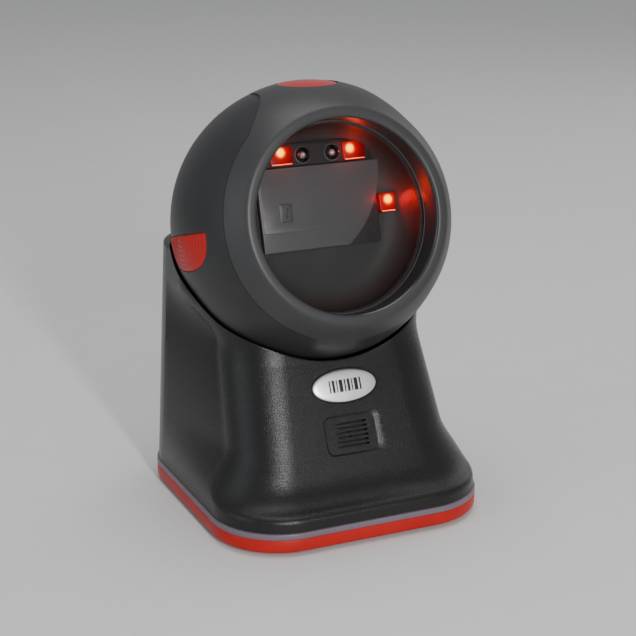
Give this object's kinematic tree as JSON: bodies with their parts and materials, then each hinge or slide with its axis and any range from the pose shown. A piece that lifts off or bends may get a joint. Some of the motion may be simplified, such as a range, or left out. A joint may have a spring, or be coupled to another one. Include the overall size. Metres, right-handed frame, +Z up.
{
  "type": "presentation barcode scanner",
  "caption": "Hands-free desktop barcode scanner: a ball head with a deep round window tilts in the cradle of a flared wedge stand on a red base.",
  "frame": {"origin": "centre of the footprint, on the surface that the rubber feet stand on", "axes": "+Z up, the front with the window faces -Y, X = 0 is the symmetry plane"},
  "size_m": [0.097, 0.1, 0.1474],
  "materials": {
    "stand_plastic": "fine spark-eroded black plastic with a faint sparkle",
    "cover_plastic": "spark-eroded black plastic",
    "screw_steel": "zinc-plated steel",
    "red_plastic": "satin red plastic",
    "trim_plastic": "satin mauve-grey plastic",
    "rubber": "matt black rubber",
    "plate_steel": "cut steel plate",
    "badge_metal": "domed silver-white plate",
    "grille_plastic": "black plastic",
    "black_plastic": "black moulded plastic",
    "circuit_board": "green solder mask",
    "socket_plastic": "black moulded jack",
    "contact_gold": "gold-plated contacts",
    "connector_plastic": "off-white nylon",
    "harness_jacket": "black jacket",
    "yoke_metal": "die-cast metal",
    "pin_steel": "turned steel pin",
    "washer_brass": "spring bronze",
    "bezel_plastic": "satin dark grey plastic",
    "ball_plastic": "satin black plastic",
    "window_glass": "clear coated window",
    "shroud_plastic": "smooth black plastic",
    "panel_gloss": "grey glossy plate",
    "strip_plastic": "black plastic",
    "clear_dome": "clear lens cap",
    "lens_metal": "black barrel with a coated lens",
    "red_gloss": "smooth red plastic",
    "spring_steel": "spring wire",
    "led_red": "lit red lamp window"
  },
  "bodies": {
    "stand": {"stand_shell": "stand_plastic", "rear_cover": "cover_plastic", "rear_cover_screws": "screw_steel", "base_tray": "red_plastic", "base_trim": "trim_plastic", "rubber_feet": "rubber", "base_screws": "screw_steel", "ballast_plate": "plate_steel", "badge": "badge_metal", "sound_grille": "grille_plastic", "buzzer": "black_plastic", "interface_board": "circuit_board", "board_screws": "screw_steel", "cable_socket": "socket_plastic", "socket_contacts": "contact_gold", "harness_connector": "connector_plastic", "lower_harness": "harness_jacket", "tilt_yoke": "yoke_metal", "pivot_pin_left": "pin_steel", "pivot_pin_right": "pin_steel", "friction_washers": "washer_brass", "support_bracket": "plate_steel", "neck_screws": "screw_steel"},
    "head": {"bezel": "bezel_plastic", "head_shell": "ball_plastic", "head_rear_cap": "ball_plastic", "head_screws": "screw_steel", "side_cap_left": "red_plastic", "side_cap_right": "red_plastic", "window": "window_glass", "window_gasket": "rubber", "optics_shroud": "shroud_plastic", "scan_panel": "panel_gloss", "led_strip": "strip_plastic", "led_windows": "led_red", "sensor_domes": "clear_dome", "camera_module": "black_plastic", "lens_barrel": "lens_metal", "decoder_board": "circuit_board", "decoder_screws": "screw_steel", "upper_harness": "harness_jacket", "button_board": "circuit_board", "tact_switch": "black_plastic"},
    "button": {"top_button": "red_gloss", "button_spring": "spring_steel"}
  },
  "joints": [
    {"name": "head_tilt", "type": "hinge", "parent": "stand", "child": "head", "pos_m": [0, 0.002, 0.0987], "axis": [1, 0, 0], "range_deg": [-14, 16]},
    {"name": "button_press", "type": "slide", "parent": "head", "child": "button", "axis": [0, -0.0523, -0.9986], "range_m": [0, 0.0008], "stiffness_N_per_m": 900, "springref_m": -0.001, "deforming": ["button_spring"]}
  ]
}
